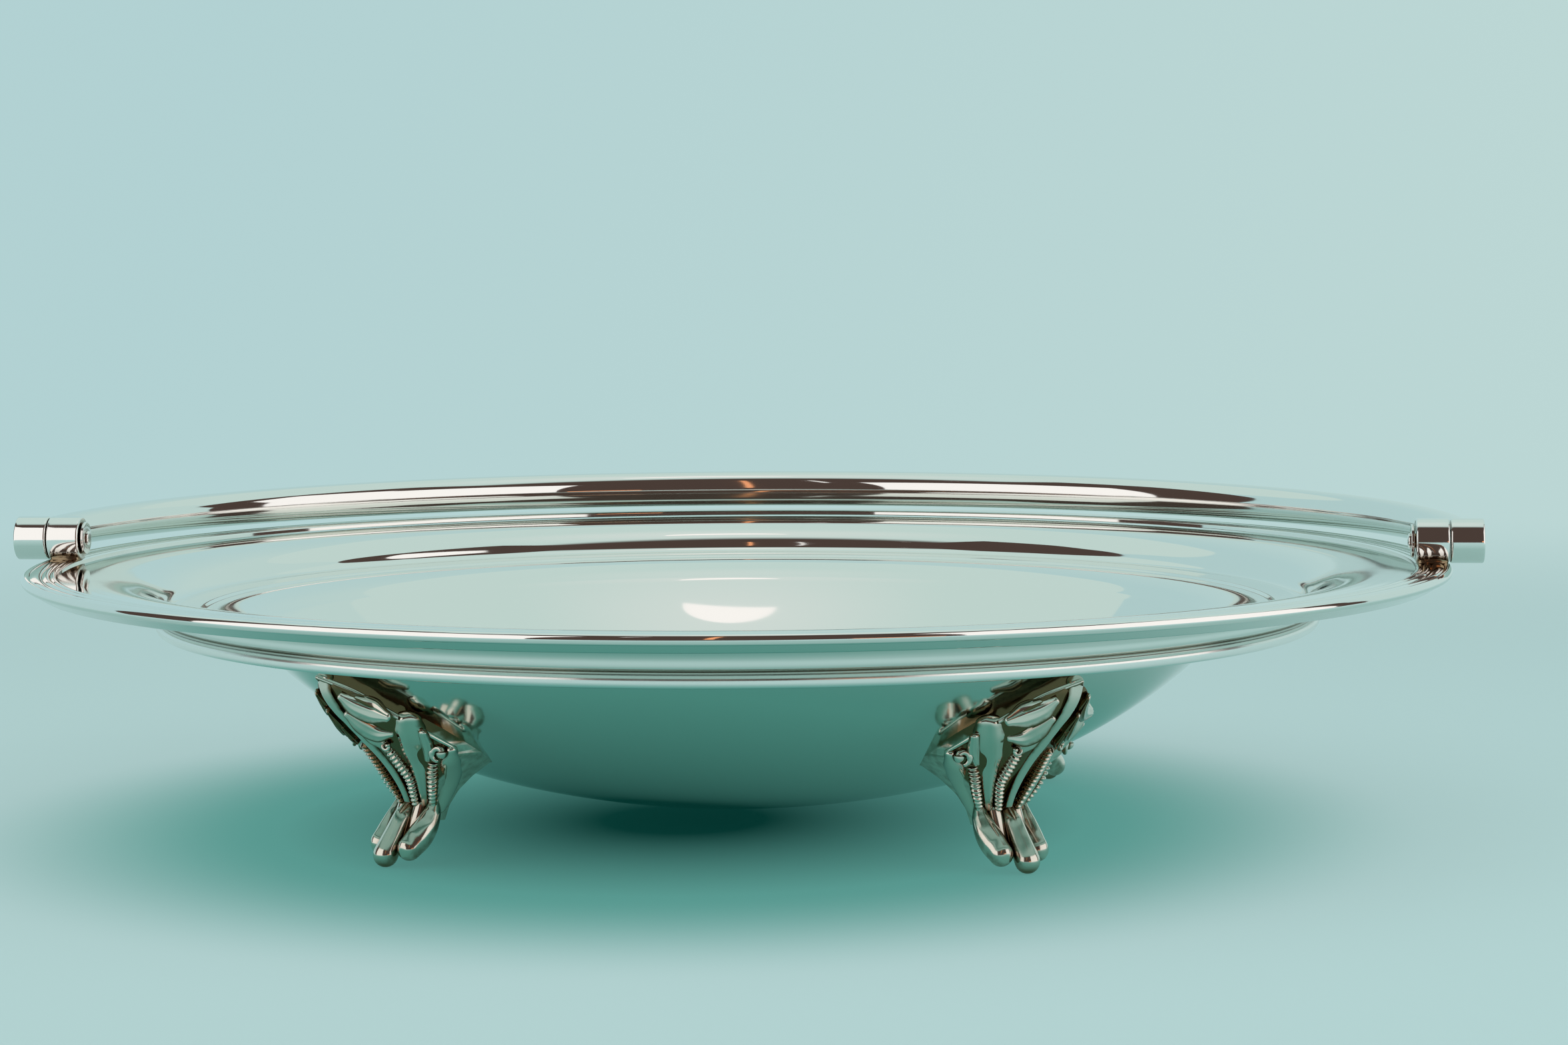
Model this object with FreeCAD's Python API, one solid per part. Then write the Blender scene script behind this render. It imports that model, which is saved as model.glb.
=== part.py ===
import FreeCAD, Part
import math
import os

# Shallow footed bowl with a swing handle. Lengths in millimetres, angles in degrees.
# Z is up and the feet stand on z = 0. The pivot axis runs along X.
# The handle is folded back over the rim on the +Y side.
# A place in from the rim is an inset from the rim radius and a drop below the rim plane.

# Driving dimensions of the bowl
RIM_RADIUS = 125.0
RIM_HEIGHT = 45.9
SHEET_THICKNESS = 1.2
BOWL_CLEARANCE = 3.9
WELL_WALL_RADIUS = 90.7
WELL_FLOOR_ANGLE = 15.0
FLANGE_EDGE_INSET = 2.0
FLANGE_FLAT_INSET = 9.0

# Step inside the flange, the ledge below it and the lip of the well
STEP_WALL_INSET = 24.0
STEP_WALL_DEPTH = 5.3
STEP_HOLLOW_WIDTH = 2.2
STEP_DEPTH = 6.35
LEDGE_WIDTH = 6.4
LEDGE_FALL = 0.25
CREASE_WIDTH = 0.5
CREASE_DEPTH = 0.35
WELL_LIP_DROP = 10.3
UNDER_LIP_DROP = 10.9
UNDER_LIP_INSET = 39.0
UNDER_LEDGE_DROP = 8.1
UNDER_LEDGE_RISE = 0.2
UNDER_LEDGE_INSET = 24.4
UNDER_LEDGE_WIDTH = 6.6

# Shape of the curved stretches, each between its two ends: share of the width, share of the depth
FLANGE_CURL_SHARES = [(0.27, 0.03), (0.53, 0.14), (0.73, 0.31), (0.875, 0.55), (0.96, 0.81)]
STEP_HOLLOW_SHARES = [(0.36, 0.76)]
WELL_LIP_SHARES = [(0.34, 0.13), (0.67, 0.45)]
UNDER_LIP_SHARES = [(0.29, 0.57), (0.66, 0.86)]
UNDER_WALL_SHARES = [(0.09, 0.12), (0.14, 0.34)]
UNDER_CURL_SHARES = [(0.22, 0.59), (0.39, 0.79), (0.57, 0.91), (0.78, 0.98)]

# Applied reeded border, capping the edge of the flange
BORDER_WIDTH = 6.2
BORDER_STEP_HEIGHT = 0.3
REED_HEIGHT = 0.62
REED_GROOVE_HEIGHT = 0.4
REED_GROOVE_INSETS = [5.0, 3.6, 1.5]
REED_SHOULDER_SHARE = 0.24
BEAD_DROP = 0.1
BEAD_NECK_INSET = 0.75
BEAD_NECK_DROP = 1.1
BORDER_LIP_INSET = 3.0
BORDER_LIP_DROP = 2.45
BORDER_LIP_WIDTH = 0.6

# Half-round wire soldered under the step
WIRE_RADIUS = 1.35
WIRE_INSET = 24.1
WIRE_DROP = 8.9

# Handle, pivots and knobs
BARREL_RADIUS = 3.9
BARREL_LENGTH = 5.8
BARREL_SEAT_DEPTH = 0.2
KNOB_GAP = 0.4
KNOB_LENGTH = 5.6
EDGE_ROUND = 0.35
PIN_RADIUS = 1.3
PIN_RUNNING_CLEARANCE = 0.05
PIN_DEPTH_IN_KNOB = 3.4
PIN_TIP_LENGTH = 0.5
WASHER_RADIUS = 2.9
WASHER_THICKNESS = 0.55
WASHER_GAP = 0.25
BAIL_BACK_INSET = 5.0
BAIL_RISE_TO_BACK = 0.75
BAIL_MID_RADIUS = 3.55
BAIL_END_RADIUS = 2.65
BAIL_TAPER_POWER = 0.45
BAIL_STATION_COUNT = 21

# Cast feet, each drawn in its own radial plane with its apex on the shoulder of the well
FOOT_ANGLES = {"front_left": 225.6, "front_right": 314.4, "back_right": 45.6, "back_left": 134.4}
FOOT_DROP = 12.9
KNEE_STAND_OFF = 4.86
FOOT_REACH = 20.0
FOOT_HALF_WIDTH = 14.6
RIB_RADIUS = 1.45
ROPE_RADIUS = 0.7
PETAL_RADIUS = 2.2
LEAF_RADIUS = 1.3
SCROLL_RING_RADIUS = 1.25
SCROLL_WIRE_RADIUS = 0.65
SCROLL_TURN_ANGLE = 290.0
CENTRE_TOE_RADIUS = 1.85
CENTRE_HEEL_RADIUS = 1.8
SIDE_TOE_RADIUS = 2.0
SIDE_HEEL_RADIUS = 2.5
TOE_FLAT_DEPTH = 0.13
SIDE_TOE_LIFT = 1.1

# Places on a foot: share of the reach in from the apex, of the half width and of the foot's height
ROOF_FALL_SHARE = 0.25
ROOF_EDGE_SHARES = [
    (0.0, 0.0, 1.0), (0.215, 0.3, 0.924), (0.43, 0.6, 0.816), (0.69, 0.822, 0.708),
    (1.03, 1.0, 0.585), (1.245, 1.1, 0.515)]
RIB_SHARES = [
    (0.045, 0, 0.988), (0.105, 0, 0.909), (0.205, 0, 0.818), (0.35, 0, 0.727), (0.505, 0, 0.636),
    (0.655, 0, 0.545), (0.785, 0, 0.455), (0.875, 0, 0.37), (0.925, 0, 0.282)]
RIB_RADIUS_SHARES = [1.0, 0.98, 0.94, 0.88, 0.82, 0.76, 0.7, 0.66, 0.65]
ROPE_SHARES = [
    [(0.6, 0.274, 0.597), (0.705, 0.267, 0.524), (0.8, 0.26, 0.448),
     (0.87, 0.219, 0.373), (0.92, 0.144, 0.291)],
    [(0.835, 0.616, 0.552), (0.855, 0.548, 0.497), (0.88, 0.493, 0.436),
     (0.91, 0.425, 0.373), (0.96, 0.336, 0.309)],
]
PETAL_SHARES = [
    (0.585, 0.705, 0.758), (0.615, 0.644, 0.682), (0.705, 0.527, 0.606), (0.785, 0.445, 0.53),
    (0.835, 0.384, 0.455), (0.885, 0.322, 0.379), (0.945, 0.247, 0.303)]
PETAL_RADIUS_SHARES = [1.0, 0.94, 0.76, 0.59, 0.46, 0.35, 0.25]
LEAF_SHARES = [
    [(0.235, 0.26, 0.836), (0.33, 0.397, 0.8), (0.435, 0.589, 0.779)],
    [(0.33, 0.205, 0.758), (0.435, 0.253, 0.703), (0.555, 0.315, 0.642)],
]
LEAF_RADIUS_SHARES = [0.55, 1.0, 0.6]
SCROLL_SHARES = (0.8, 0.77, 0.606)
CENTRE_HEEL_SHARES = (0.985, 0, 0.265)
CENTRE_TOE_REACH_SHARE = 0.65
SIDE_HEEL_SHARES = (1.07, 0.29, 0.27)
SIDE_TOE_REACH_SHARE = 0.745
SIDE_TOE_SPREAD_SHARE = 0.267
# One row per level of the leg: height, front, shoulder, its half width, side edge, half width, back
LEG_LEVEL_SHARES = [
    (0.242, 0.965, 1.015, 0.301, 1.125, 0.356, 1.195),
    (0.303, 0.925, 0.975, 0.329, 1.125, 0.39, 1.21),
    (0.379, 0.875, 0.915, 0.425, 1.11, 0.479, 1.225),
    (0.455, 0.785, 0.885, 0.507, 1.085, 0.637, 1.235),
    (0.53, 0.665, 0.855, 0.603, 1.055, 0.822, 1.32),
    (0.588, 0.58, 0.825, 0.726, 1.01, 1, 1.445),
    (0.682, 0.425, 0.635, 0.671, 0.87, 1, 1.445),
    (0.758, 0.3, 0.545, 0.699, 0.785, 1, 1.345),
    (0.848, 0.165, 0.425, 0.699, 0.685, 1, 1.245),
    (0.939, 0.075, 0.345, 0.699, 0.61, 1, 1.145),
    (1.091, 0.02, 0.295, 0.699, 0.545, 1, 1.145),
]


def at_rim(inset, drop):
    """Point of an outline in the XZ plane, given by its inset and its drop from the rim."""
    return FreeCAD.Vector(RIM_RADIUS - inset, 0, RIM_HEIGHT - drop)


def between(start, end, shares):
    """Points of a curve from start to end, by their shares of the width and of the height."""
    return [
        FreeCAD.Vector(start.x + across * (end.x - start.x), 0, start.z + down * (end.z - start.z))
        for across, down in shares]


def line(start, end):
    return Part.LineSegment(start, end).toShape()


def lines(points):
    return [line(start, end) for start, end in zip(points, points[1:])]


def arc(start, middle, end):
    return Part.Arc(start, middle, end).toShape()


def curve(points):
    spline = Part.BSplineCurve()
    spline.interpolate(points)
    return spline.toShape()


def revolve_outline(edges):
    """Solid of revolution about the bowl axis from a closed outline in the XZ plane."""
    face = Part.Face(Part.Wire(edges))
    return face.revolve(FreeCAD.Vector(0, 0, 0), FreeCAD.Vector(0, 0, 1), 360)


def floor_radius_of_well():
    """Radius of the floor arc that is tangent to the wall arc and ends it at the lip."""
    blend = math.radians(WELL_FLOOR_ANGLE)
    lip_radius = RIM_RADIUS - UNDER_LIP_INSET
    lip_height = RIM_HEIGHT - UNDER_LIP_DROP - BOWL_CLEARANCE - WELL_WALL_RADIUS
    lean = math.sin(blend)
    sag = 1 - math.cos(blend)
    squared = lean ** 2 + sag ** 2
    linear = lip_radius * lean + lip_height * sag
    constant = lip_radius ** 2 + lip_height ** 2 - WELL_WALL_RADIUS ** 2
    return WELL_WALL_RADIUS + (linear - math.sqrt(linear ** 2 - squared * constant)) / squared


def wall_centre_of_well():
    """Centre of the wall arc, as a radius and a height."""
    blend = math.radians(WELL_FLOOR_ANGLE)
    radius_change = WELL_FLOOR_RADIUS - WELL_WALL_RADIUS
    centre_height = BOWL_CLEARANCE + WELL_FLOOR_RADIUS - radius_change * math.cos(blend)
    return radius_change * math.sin(blend), centre_height


def well_radius_at(height):
    """Outside radius of the well at a height of its wall."""
    centre_radius, centre_height = wall_centre_of_well()
    return centre_radius + math.sqrt(WELL_WALL_RADIUS ** 2 - (centre_height - height) ** 2)


def point_on_arc(centre_radius, centre_height, arc_radius, angle):
    return FreeCAD.Vector(
        centre_radius + arc_radius * math.sin(angle), 0, centre_height - arc_radius * math.cos(angle))


def well_outline(arc_offset, lip_height):
    """Two tangent arcs of the well, from the axis out to the height of its lip."""
    floor_radius = WELL_FLOOR_RADIUS - arc_offset
    wall_radius = WELL_WALL_RADIUS - arc_offset
    floor_centre = BOWL_CLEARANCE + WELL_FLOOR_RADIUS
    wall_centre_radius, wall_centre_height = wall_centre_of_well()
    blend = math.radians(WELL_FLOOR_ANGLE)
    lip_angle = math.acos((wall_centre_height - lip_height) / wall_radius)
    floor_points = [point_on_arc(0, floor_centre, floor_radius, share * blend) for share in (0, 0.5, 1)]
    wall_points = [
        point_on_arc(wall_centre_radius, wall_centre_height, wall_radius, blend + share * (lip_angle - blend))
        for share in (0, 0.5, 1)]
    return arc(*floor_points), arc(*wall_points), floor_points[0], wall_points[2]


def make_bowl():
    """Spun shell: flange, step, ledge and well in one sheet."""
    inner_floor, inner_wall, inner_axis, inner_lip = well_outline(SHEET_THICKNESS, RIM_HEIGHT - WELL_LIP_DROP)
    outer_floor, outer_wall, outer_axis, outer_lip = well_outline(0, RIM_HEIGHT - UNDER_LIP_DROP)
    edge_top = at_rim(FLANGE_EDGE_INSET, 0)
    flat_top = at_rim(FLANGE_FLAT_INSET, 0)
    wall_foot = at_rim(STEP_WALL_INSET, STEP_WALL_DEPTH)
    ledge_start = at_rim(STEP_WALL_INSET + STEP_HOLLOW_WIDTH, STEP_DEPTH)
    ledge_end = ledge_start - FreeCAD.Vector(LEDGE_WIDTH - STEP_HOLLOW_WIDTH, 0, LEDGE_FALL)
    crease = ledge_end - FreeCAD.Vector(CREASE_WIDTH, 0, CREASE_DEPTH)
    ledge_inner_under = at_rim(UNDER_LEDGE_INSET + UNDER_LEDGE_WIDTH, UNDER_LEDGE_DROP)
    ledge_outer_under = at_rim(UNDER_LEDGE_INSET, UNDER_LEDGE_DROP - UNDER_LEDGE_RISE)
    flat_under = at_rim(FLANGE_FLAT_INSET, SHEET_THICKNESS)
    edge_under = at_rim(FLANGE_EDGE_INSET, SHEET_THICKNESS)
    wall_under = between(ledge_outer_under, flat_under, UNDER_WALL_SHARES)
    curl_under = between(wall_under[-1], flat_under, UNDER_CURL_SHARES)
    edges = [
        line(edge_top, flat_top),
        curve([flat_top] + between(flat_top, wall_foot, FLANGE_CURL_SHARES) + [wall_foot]),
        curve([wall_foot] + between(wall_foot, ledge_start, STEP_HOLLOW_SHARES) + [ledge_start]),
        line(ledge_start, ledge_end),
        line(ledge_end, crease),
        curve([crease] + between(crease, inner_lip, WELL_LIP_SHARES) + [inner_lip]),
        inner_wall,
        inner_floor,
        line(inner_axis, outer_axis),
        outer_floor,
        outer_wall,
        curve([outer_lip] + between(outer_lip, ledge_inner_under, UNDER_LIP_SHARES) + [ledge_inner_under]),
        line(ledge_inner_under, ledge_outer_under),
        curve([ledge_outer_under] + wall_under),
        curve([wall_under[-1]] + curl_under + [flat_under]),
        line(flat_under, edge_under),
        line(edge_under, edge_top),
    ]
    return revolve_outline(edges)


def reed(start, end):
    """Crest between two grooves of the border, with bevelled shoulders."""
    span = end.x - start.x
    top = RIM_HEIGHT + REED_HEIGHT
    return [
        FreeCAD.Vector(start.x + REED_SHOULDER_SHARE * span, 0, top),
        FreeCAD.Vector(end.x - REED_SHOULDER_SHARE * span, 0, top),
        end,
    ]


def make_rim_border():
    """Reeded ring with an outer bead, a channel for the flange edge and a lip below."""
    inner_foot = at_rim(BORDER_WIDTH, 0)
    step_top = at_rim(BORDER_WIDTH, -BORDER_STEP_HEIGHT)
    grooves = [step_top] + [at_rim(inset, -REED_GROOVE_HEIGHT) for inset in REED_GROOVE_INSETS]
    bead_edge = at_rim(0, BEAD_DROP)
    neck = at_rim(BEAD_NECK_INSET, BEAD_NECK_DROP)
    lip_outer = at_rim(BORDER_LIP_INSET, BORDER_LIP_DROP)
    lip_inner = lip_outer - FreeCAD.Vector(BORDER_LIP_WIDTH, 0, 0)
    lip_root = FreeCAD.Vector(lip_inner.x, 0, RIM_HEIGHT - SHEET_THICKNESS)
    reeds = [inner_foot, step_top]
    for start, end in zip(grooves, grooves[1:]):
        reeds += reed(start, end)
    edges = lines(reeds) + [arc(grooves[-1], bead_edge, neck)]
    edges += lines([
        neck,
        lip_outer,
        lip_inner,
        lip_root,
        at_rim(FLANGE_EDGE_INSET, SHEET_THICKNESS),
        at_rim(FLANGE_EDGE_INSET, 0),
        inner_foot,
    ])
    return revolve_outline(edges)


def make_shoulder_wire(bowl):
    """Half-round wire in the corner under the step."""
    circle = Part.Circle(at_rim(WIRE_INSET, WIRE_DROP), FreeCAD.Vector(0, 1, 0), WIRE_RADIUS).toShape()
    return revolve_outline([circle]).cut(bowl)


def tapered_tube(points, radii):
    """Loft through circles that stand square to a curve."""
    path = Part.BSplineCurve()
    path.interpolate(points)
    circles = []
    for point, radius in zip(points, radii):
        tangent = path.tangent(path.parameter(point))[0]
        circles.append(Part.Wire(Part.Circle(point, tangent, radius).toShape()))
    return Part.makeLoft(circles, True)


def make_toe(heel, heel_radius, ball, ball_radius):
    """Teardrop revolved about its own axis, from the ankle to the ball of the toe."""
    axis = ball - heel
    length = axis.Length
    tilt = math.asin((ball_radius - heel_radius) / length)
    heel_side = FreeCAD.Vector(
        heel_radius * math.cos(tilt), 0, -heel_radius * math.sin(tilt))
    ball_side = FreeCAD.Vector(
        ball_radius * math.cos(tilt), 0, length - ball_radius * math.sin(tilt))
    half = math.sqrt(0.5)
    heel_end = FreeCAD.Vector(0, 0, -heel_radius)
    heel_middle = FreeCAD.Vector(heel_radius * half, 0, -heel_radius * half)
    ball_end = FreeCAD.Vector(0, 0, length + ball_radius)
    ball_middle = FreeCAD.Vector(ball_radius * half, 0, length + ball_radius * half)
    toe = revolve_outline([
        arc(heel_end, heel_middle, heel_side),
        line(heel_side, ball_side),
        arc(ball_side, ball_middle, ball_end),
        line(ball_end, heel_end),
    ])
    toe.Placement = FreeCAD.Placement(heel, FreeCAD.Rotation(FreeCAD.Vector(0, 0, 1), axis))
    return toe


def on_foot(inward_share, side_share, height_share):
    """Place on the foot of the +X side."""
    return FreeCAD.Vector(
        APEX_RADIUS - inward_share * FOOT_REACH,
        side_share * FOOT_HALF_WIDTH,
        height_share * FOOT_HEIGHT)


def foot_tube(place_shares, radius, radius_shares, side=1):
    """Cast ridge along a line of the foot, on the side given by +1 or -1."""
    points = [on_foot(inward, side * across, height) for inward, across, height in place_shares]
    return tapered_tube(points, [radius * share for share in radius_shares])


def leg_section(height_share, front, shoulder, shoulder_width, side_edge, half_width, back):
    """Slice of the leg, all in shares: a bowed front over two shoulders, and a flat back."""
    front_points = [
        on_foot(side_edge, -half_width, height_share),
        on_foot(shoulder, -shoulder_width, height_share),
        on_foot(front, 0, height_share),
        on_foot(shoulder, shoulder_width, height_share),
        on_foot(side_edge, half_width, height_share),
    ]
    back_corners = [on_foot(back, side * half_width, height_share) for side in (1, -1)]
    back_lines = lines([front_points[-1]] + back_corners + [front_points[0]])
    return Part.Wire([curve(front_points)] + back_lines)


def foot_roof():
    """Prism above the two bowed top edges of the foot, falling outward."""
    inner = APEX_RADIUS - 2 * FOOT_REACH
    edge = []
    for inward_share, side_share, height_share in ROOF_EDGE_SHARES:
        place = on_foot(inward_share, side_share, height_share)
        edge.append(FreeCAD.Vector(inner, place.y, place.z + ROOF_FALL_SHARE * (place.x - inner)))
    high = edge[0].z + FOOT_HEIGHT
    mirrored_edge = [FreeCAD.Vector(inner, -point.y, point.z) for point in reversed(edge[1:])]
    corners = mirrored_edge + edge
    corners.append(FreeCAD.Vector(inner, edge[-1].y, high))
    corners.append(FreeCAD.Vector(inner, -edge[-1].y, high))
    corners.append(mirrored_edge[0])
    length = 3 * FOOT_REACH
    return Part.Face(Part.makePolygon(corners)).extrude(FreeCAD.Vector(length, 0, -length * ROOF_FALL_SHARE))


def make_toes():
    """Centre toe, filed flat below, and the two raised toes beside it."""
    centre_ball = on_foot(CENTRE_TOE_REACH_SHARE, 0, 0)
    centre_ball.z = CENTRE_TOE_RADIUS - TOE_FLAT_DEPTH
    toes = [make_toe(on_foot(*CENTRE_HEEL_SHARES), CENTRE_HEEL_RADIUS, centre_ball, CENTRE_TOE_RADIUS)]
    inward, across, height = SIDE_HEEL_SHARES
    for side in (1, -1):
        ball = on_foot(SIDE_TOE_REACH_SHARE, side * SIDE_TOE_SPREAD_SHARE, 0)
        ball.z = SIDE_TOE_RADIUS + SIDE_TOE_LIFT
        toes.append(make_toe(on_foot(inward, side * across, height), SIDE_HEEL_RADIUS, ball, SIDE_TOE_RADIUS))
    return toes


def make_scroll(side):
    """Curl at the outer tip of the knee, an open ring of wire that faces outward."""
    inward, across, height = SCROLL_SHARES
    centre = on_foot(inward, side * across, height)
    facing = FreeCAD.Vector(FOOT_REACH, side * FOOT_HALF_WIDTH, 0)
    return Part.makeTorus(
        SCROLL_RING_RADIUS, SCROLL_WIRE_RADIUS, centre, facing, -180, 180, SCROLL_TURN_ANGLE)


def make_foot(well_body):
    """One cast foot on the +X side: bowed knee, rib, ropes and petals, curls and three toes."""
    leg = Part.makeLoft([leg_section(*level) for level in LEG_LEVEL_SHARES], True)
    reliefs = [foot_tube(RIB_SHARES, RIB_RADIUS, RIB_RADIUS_SHARES)] + make_toes()
    for side in (1, -1):
        reliefs += [foot_tube(rope, ROPE_RADIUS, [1] * len(rope), side) for rope in ROPE_SHARES]
        reliefs += [foot_tube(leaf, LEAF_RADIUS, LEAF_RADIUS_SHARES, side) for leaf in LEAF_SHARES]
        reliefs.append(foot_tube(PETAL_SHARES, PETAL_RADIUS, PETAL_RADIUS_SHARES, side))
        reliefs.append(make_scroll(side))
    foot = leg.fuse(reliefs)
    foot = foot.cut(foot_roof())
    foot = foot.cut(well_body)
    ground = Part.makeBox(APEX_RADIUS, APEX_RADIUS, APEX_RADIUS)
    ground.translate(FreeCAD.Vector(0, -APEX_RADIUS / 2, -APEX_RADIUS))
    foot = foot.cut(ground).removeSplitter()
    return max(foot.Solids, key=lambda solid: solid.Volume)


def make_well_body():
    """Solid filling the outside of the well, which the feet seat against."""
    outer_floor, outer_wall, axis_point, lip = well_outline(0, RIM_HEIGHT - UNDER_LIP_DROP)
    top_centre = FreeCAD.Vector(0, 0, lip.z)
    return revolve_outline([outer_floor, outer_wall, line(lip, top_centre), line(top_centre, axis_point)])


def rod(start, length, radius):
    """Cylinder along X on the pivot axis."""
    return Part.makeCylinder(radius, length, FreeCAD.Vector(start, 0, PIVOT_HEIGHT), FreeCAD.Vector(1, 0, 0))


def rounded_rod(start, length, radius):
    """Cylinder along X with both end edges rounded."""
    body = rod(start, length, radius)
    rims = [edge for edge in body.Edges if isinstance(edge.Curve, Part.Circle)]
    return body.makeFillet(EDGE_ROUND, rims)


def make_barrel(border):
    """Pivot barrel on the +X side, saddled onto the crests of the border."""
    barrel = rounded_rod(BARREL_INNER_END, BARREL_LENGTH, BARREL_RADIUS)
    bore = rod(BARREL_INNER_END, BARREL_LENGTH, PIN_RADIUS + PIN_RUNNING_CLEARANCE)
    return barrel.cut([bore, border])


def make_knob():
    """Solid knob at the end of the handle, bored for the pin."""
    return rounded_rod(KNOB_INNER_END, KNOB_LENGTH, BARREL_RADIUS).cut(
        rod(KNOB_INNER_END, PIN_DEPTH_IN_KNOB, PIN_RADIUS))


def make_pin():
    """Pin from the knob through the barrel, its tip peened over the washer."""
    return rod(PIN_TIP, KNOB_INNER_END + PIN_DEPTH_IN_KNOB - PIN_TIP, PIN_RADIUS)


def make_washer():
    washer = rod(WASHER_INNER_FACE, WASHER_THICKNESS, WASHER_RADIUS)
    return washer.cut(rod(WASHER_INNER_FACE, WASHER_THICKNESS, PIN_RADIUS))


def make_bail(knobs):
    """Half-oval tube, thickest at the middle, ending on the two knobs."""
    points = []
    radii = []
    for station in range(BAIL_STATION_COUNT):
        angle = math.pi * station / (BAIL_STATION_COUNT - 1)
        points.append(FreeCAD.Vector(
            KNOB_MIDDLE * math.cos(angle),
            (RIM_RADIUS - BAIL_BACK_INSET) * math.sin(angle),
            PIVOT_HEIGHT + BAIL_RISE_TO_BACK * math.sin(angle)))
        swell = math.sin(angle) ** BAIL_TAPER_POWER if 0 < station < BAIL_STATION_COUNT - 1 else 0
        radii.append(BAIL_END_RADIUS + (BAIL_MID_RADIUS - BAIL_END_RADIUS) * swell)
    bail = tapered_tube(points, radii).cut(knobs)
    return max(bail.Solids, key=lambda solid: solid.Volume)


def mirrored(shape):
    """The same piece on the -X side."""
    return shape.mirror(FreeCAD.Vector(0, 0, 0), FreeCAD.Vector(1, 0, 0))


def turned(shape, angle):
    copy = shape.copy()
    copy.rotate(FreeCAD.Vector(0, 0, 0), FreeCAD.Vector(0, 0, 1), angle)
    return copy


# Heights and places that follow from the driving dimensions
WELL_FLOOR_RADIUS = floor_radius_of_well()
FOOT_HEIGHT = RIM_HEIGHT - FOOT_DROP
APEX_RADIUS = well_radius_at(FOOT_HEIGHT) + KNEE_STAND_OFF
PIVOT_HEIGHT = RIM_HEIGHT + REED_HEIGHT + BARREL_RADIUS - BARREL_SEAT_DEPTH
BARREL_INNER_END = RIM_RADIUS - BORDER_WIDTH
KNOB_INNER_END = BARREL_INNER_END + BARREL_LENGTH + KNOB_GAP
KNOB_MIDDLE = KNOB_INNER_END + KNOB_LENGTH / 2
WASHER_INNER_FACE = BARREL_INNER_END - WASHER_GAP - WASHER_THICKNESS
PIN_TIP = WASHER_INNER_FACE - PIN_TIP_LENGTH

bowl_shell = make_bowl()
rim_border = make_rim_border()
knob_blank = rounded_rod(KNOB_INNER_END, KNOB_LENGTH, BARREL_RADIUS)

parts = {
    "bowl_shell": bowl_shell,
    "rim_border": rim_border,
    "shoulder_wire": make_shoulder_wire(bowl_shell),
    "handle_bail": make_bail([knob_blank, mirrored(knob_blank)]),
}
for name, shape in (
        ("pivot_barrel", make_barrel(rim_border)),
        ("handle_knob", make_knob()),
        ("pivot_pin", make_pin()),
        ("pin_washer", make_washer())):
    parts[name + "_right"] = shape
    parts[name + "_left"] = mirrored(shape)
foot = make_foot(make_well_body())
for place, angle in FOOT_ANGLES.items():
    parts["foot_" + place] = turned(foot, angle)

os.makedirs("parts", exist_ok=True)
for name, shape in parts.items():
    shape.exportStep("parts/" + name + ".step")
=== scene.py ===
import math

import bpy
from mathutils import Matrix, Vector


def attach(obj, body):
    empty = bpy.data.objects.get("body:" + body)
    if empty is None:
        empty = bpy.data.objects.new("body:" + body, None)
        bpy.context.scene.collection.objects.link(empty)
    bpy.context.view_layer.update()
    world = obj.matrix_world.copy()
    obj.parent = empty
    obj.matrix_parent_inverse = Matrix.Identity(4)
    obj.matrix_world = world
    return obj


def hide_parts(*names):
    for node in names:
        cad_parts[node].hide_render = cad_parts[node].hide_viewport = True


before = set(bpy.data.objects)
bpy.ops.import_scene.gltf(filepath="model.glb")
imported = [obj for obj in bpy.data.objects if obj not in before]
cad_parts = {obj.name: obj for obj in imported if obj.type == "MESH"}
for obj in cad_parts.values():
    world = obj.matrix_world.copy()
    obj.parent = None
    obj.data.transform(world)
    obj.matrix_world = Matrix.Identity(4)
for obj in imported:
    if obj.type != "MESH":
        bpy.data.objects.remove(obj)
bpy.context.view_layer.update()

# Shallow silver serving bowl on four cast feet, its swing handle folded back over the rim.
# Sizes and places are written in millimetres, and MM turns them into Blender's metres. Angles are in
# degrees where no comment says otherwise. Colours are linear.
MM = 0.001
# Lengths below which two points count as one, and a point as lying on the axis
SAME_PLACE = 1e-6
ON_AXIS = 1e-9

# Bowl, the same values as the solid model
RIM_RADIUS = 125.0
RIM_HEIGHT = 45.9
SHEET_THICKNESS = 1.2
BOWL_CLEARANCE = 3.9
WELL_FLOOR_RADIUS = 168.0
WELL_FLOOR_ANGLE = 15.0
WELL_WALL_RADIUS = 90.7
FLANGE_EDGE_RADIUS = 123.0
FLANGE_FLAT_RADIUS = 116.0
FLANGE_CURL = [(112.0, 0.15), (108.0, 0.75), (105.0, 1.65), (102.9, 2.9), (101.6, 4.3)]
STEP_WALL_FOOT = (101.0, 5.3)
STEP_HOLLOW = [(100.2, 6.1), (98.8, 6.35)]
LEDGE_END = (94.6, 6.6)
LEDGE_CREASE = (94.1, 6.95)
WELL_LIP = [(91.0, 7.35), (88.0, 8.4)]
WELL_LIP_DROP = 10.3
UNDER_LIP = [(88.2, 9.3), (91.2, 8.5)]
UNDER_LIP_DROP = 10.9
UNDER_LEDGE_START = (94.0, 8.1)
UNDER_LEDGE_END = (100.6, 7.9)
UNDER_WALL = [(101.9, 7.1), (102.3, 5.6)]
UNDER_CURL = [(103.6, 3.95), (106.2, 2.6), (109.0, 1.8), (112.5, 1.35)]

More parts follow.
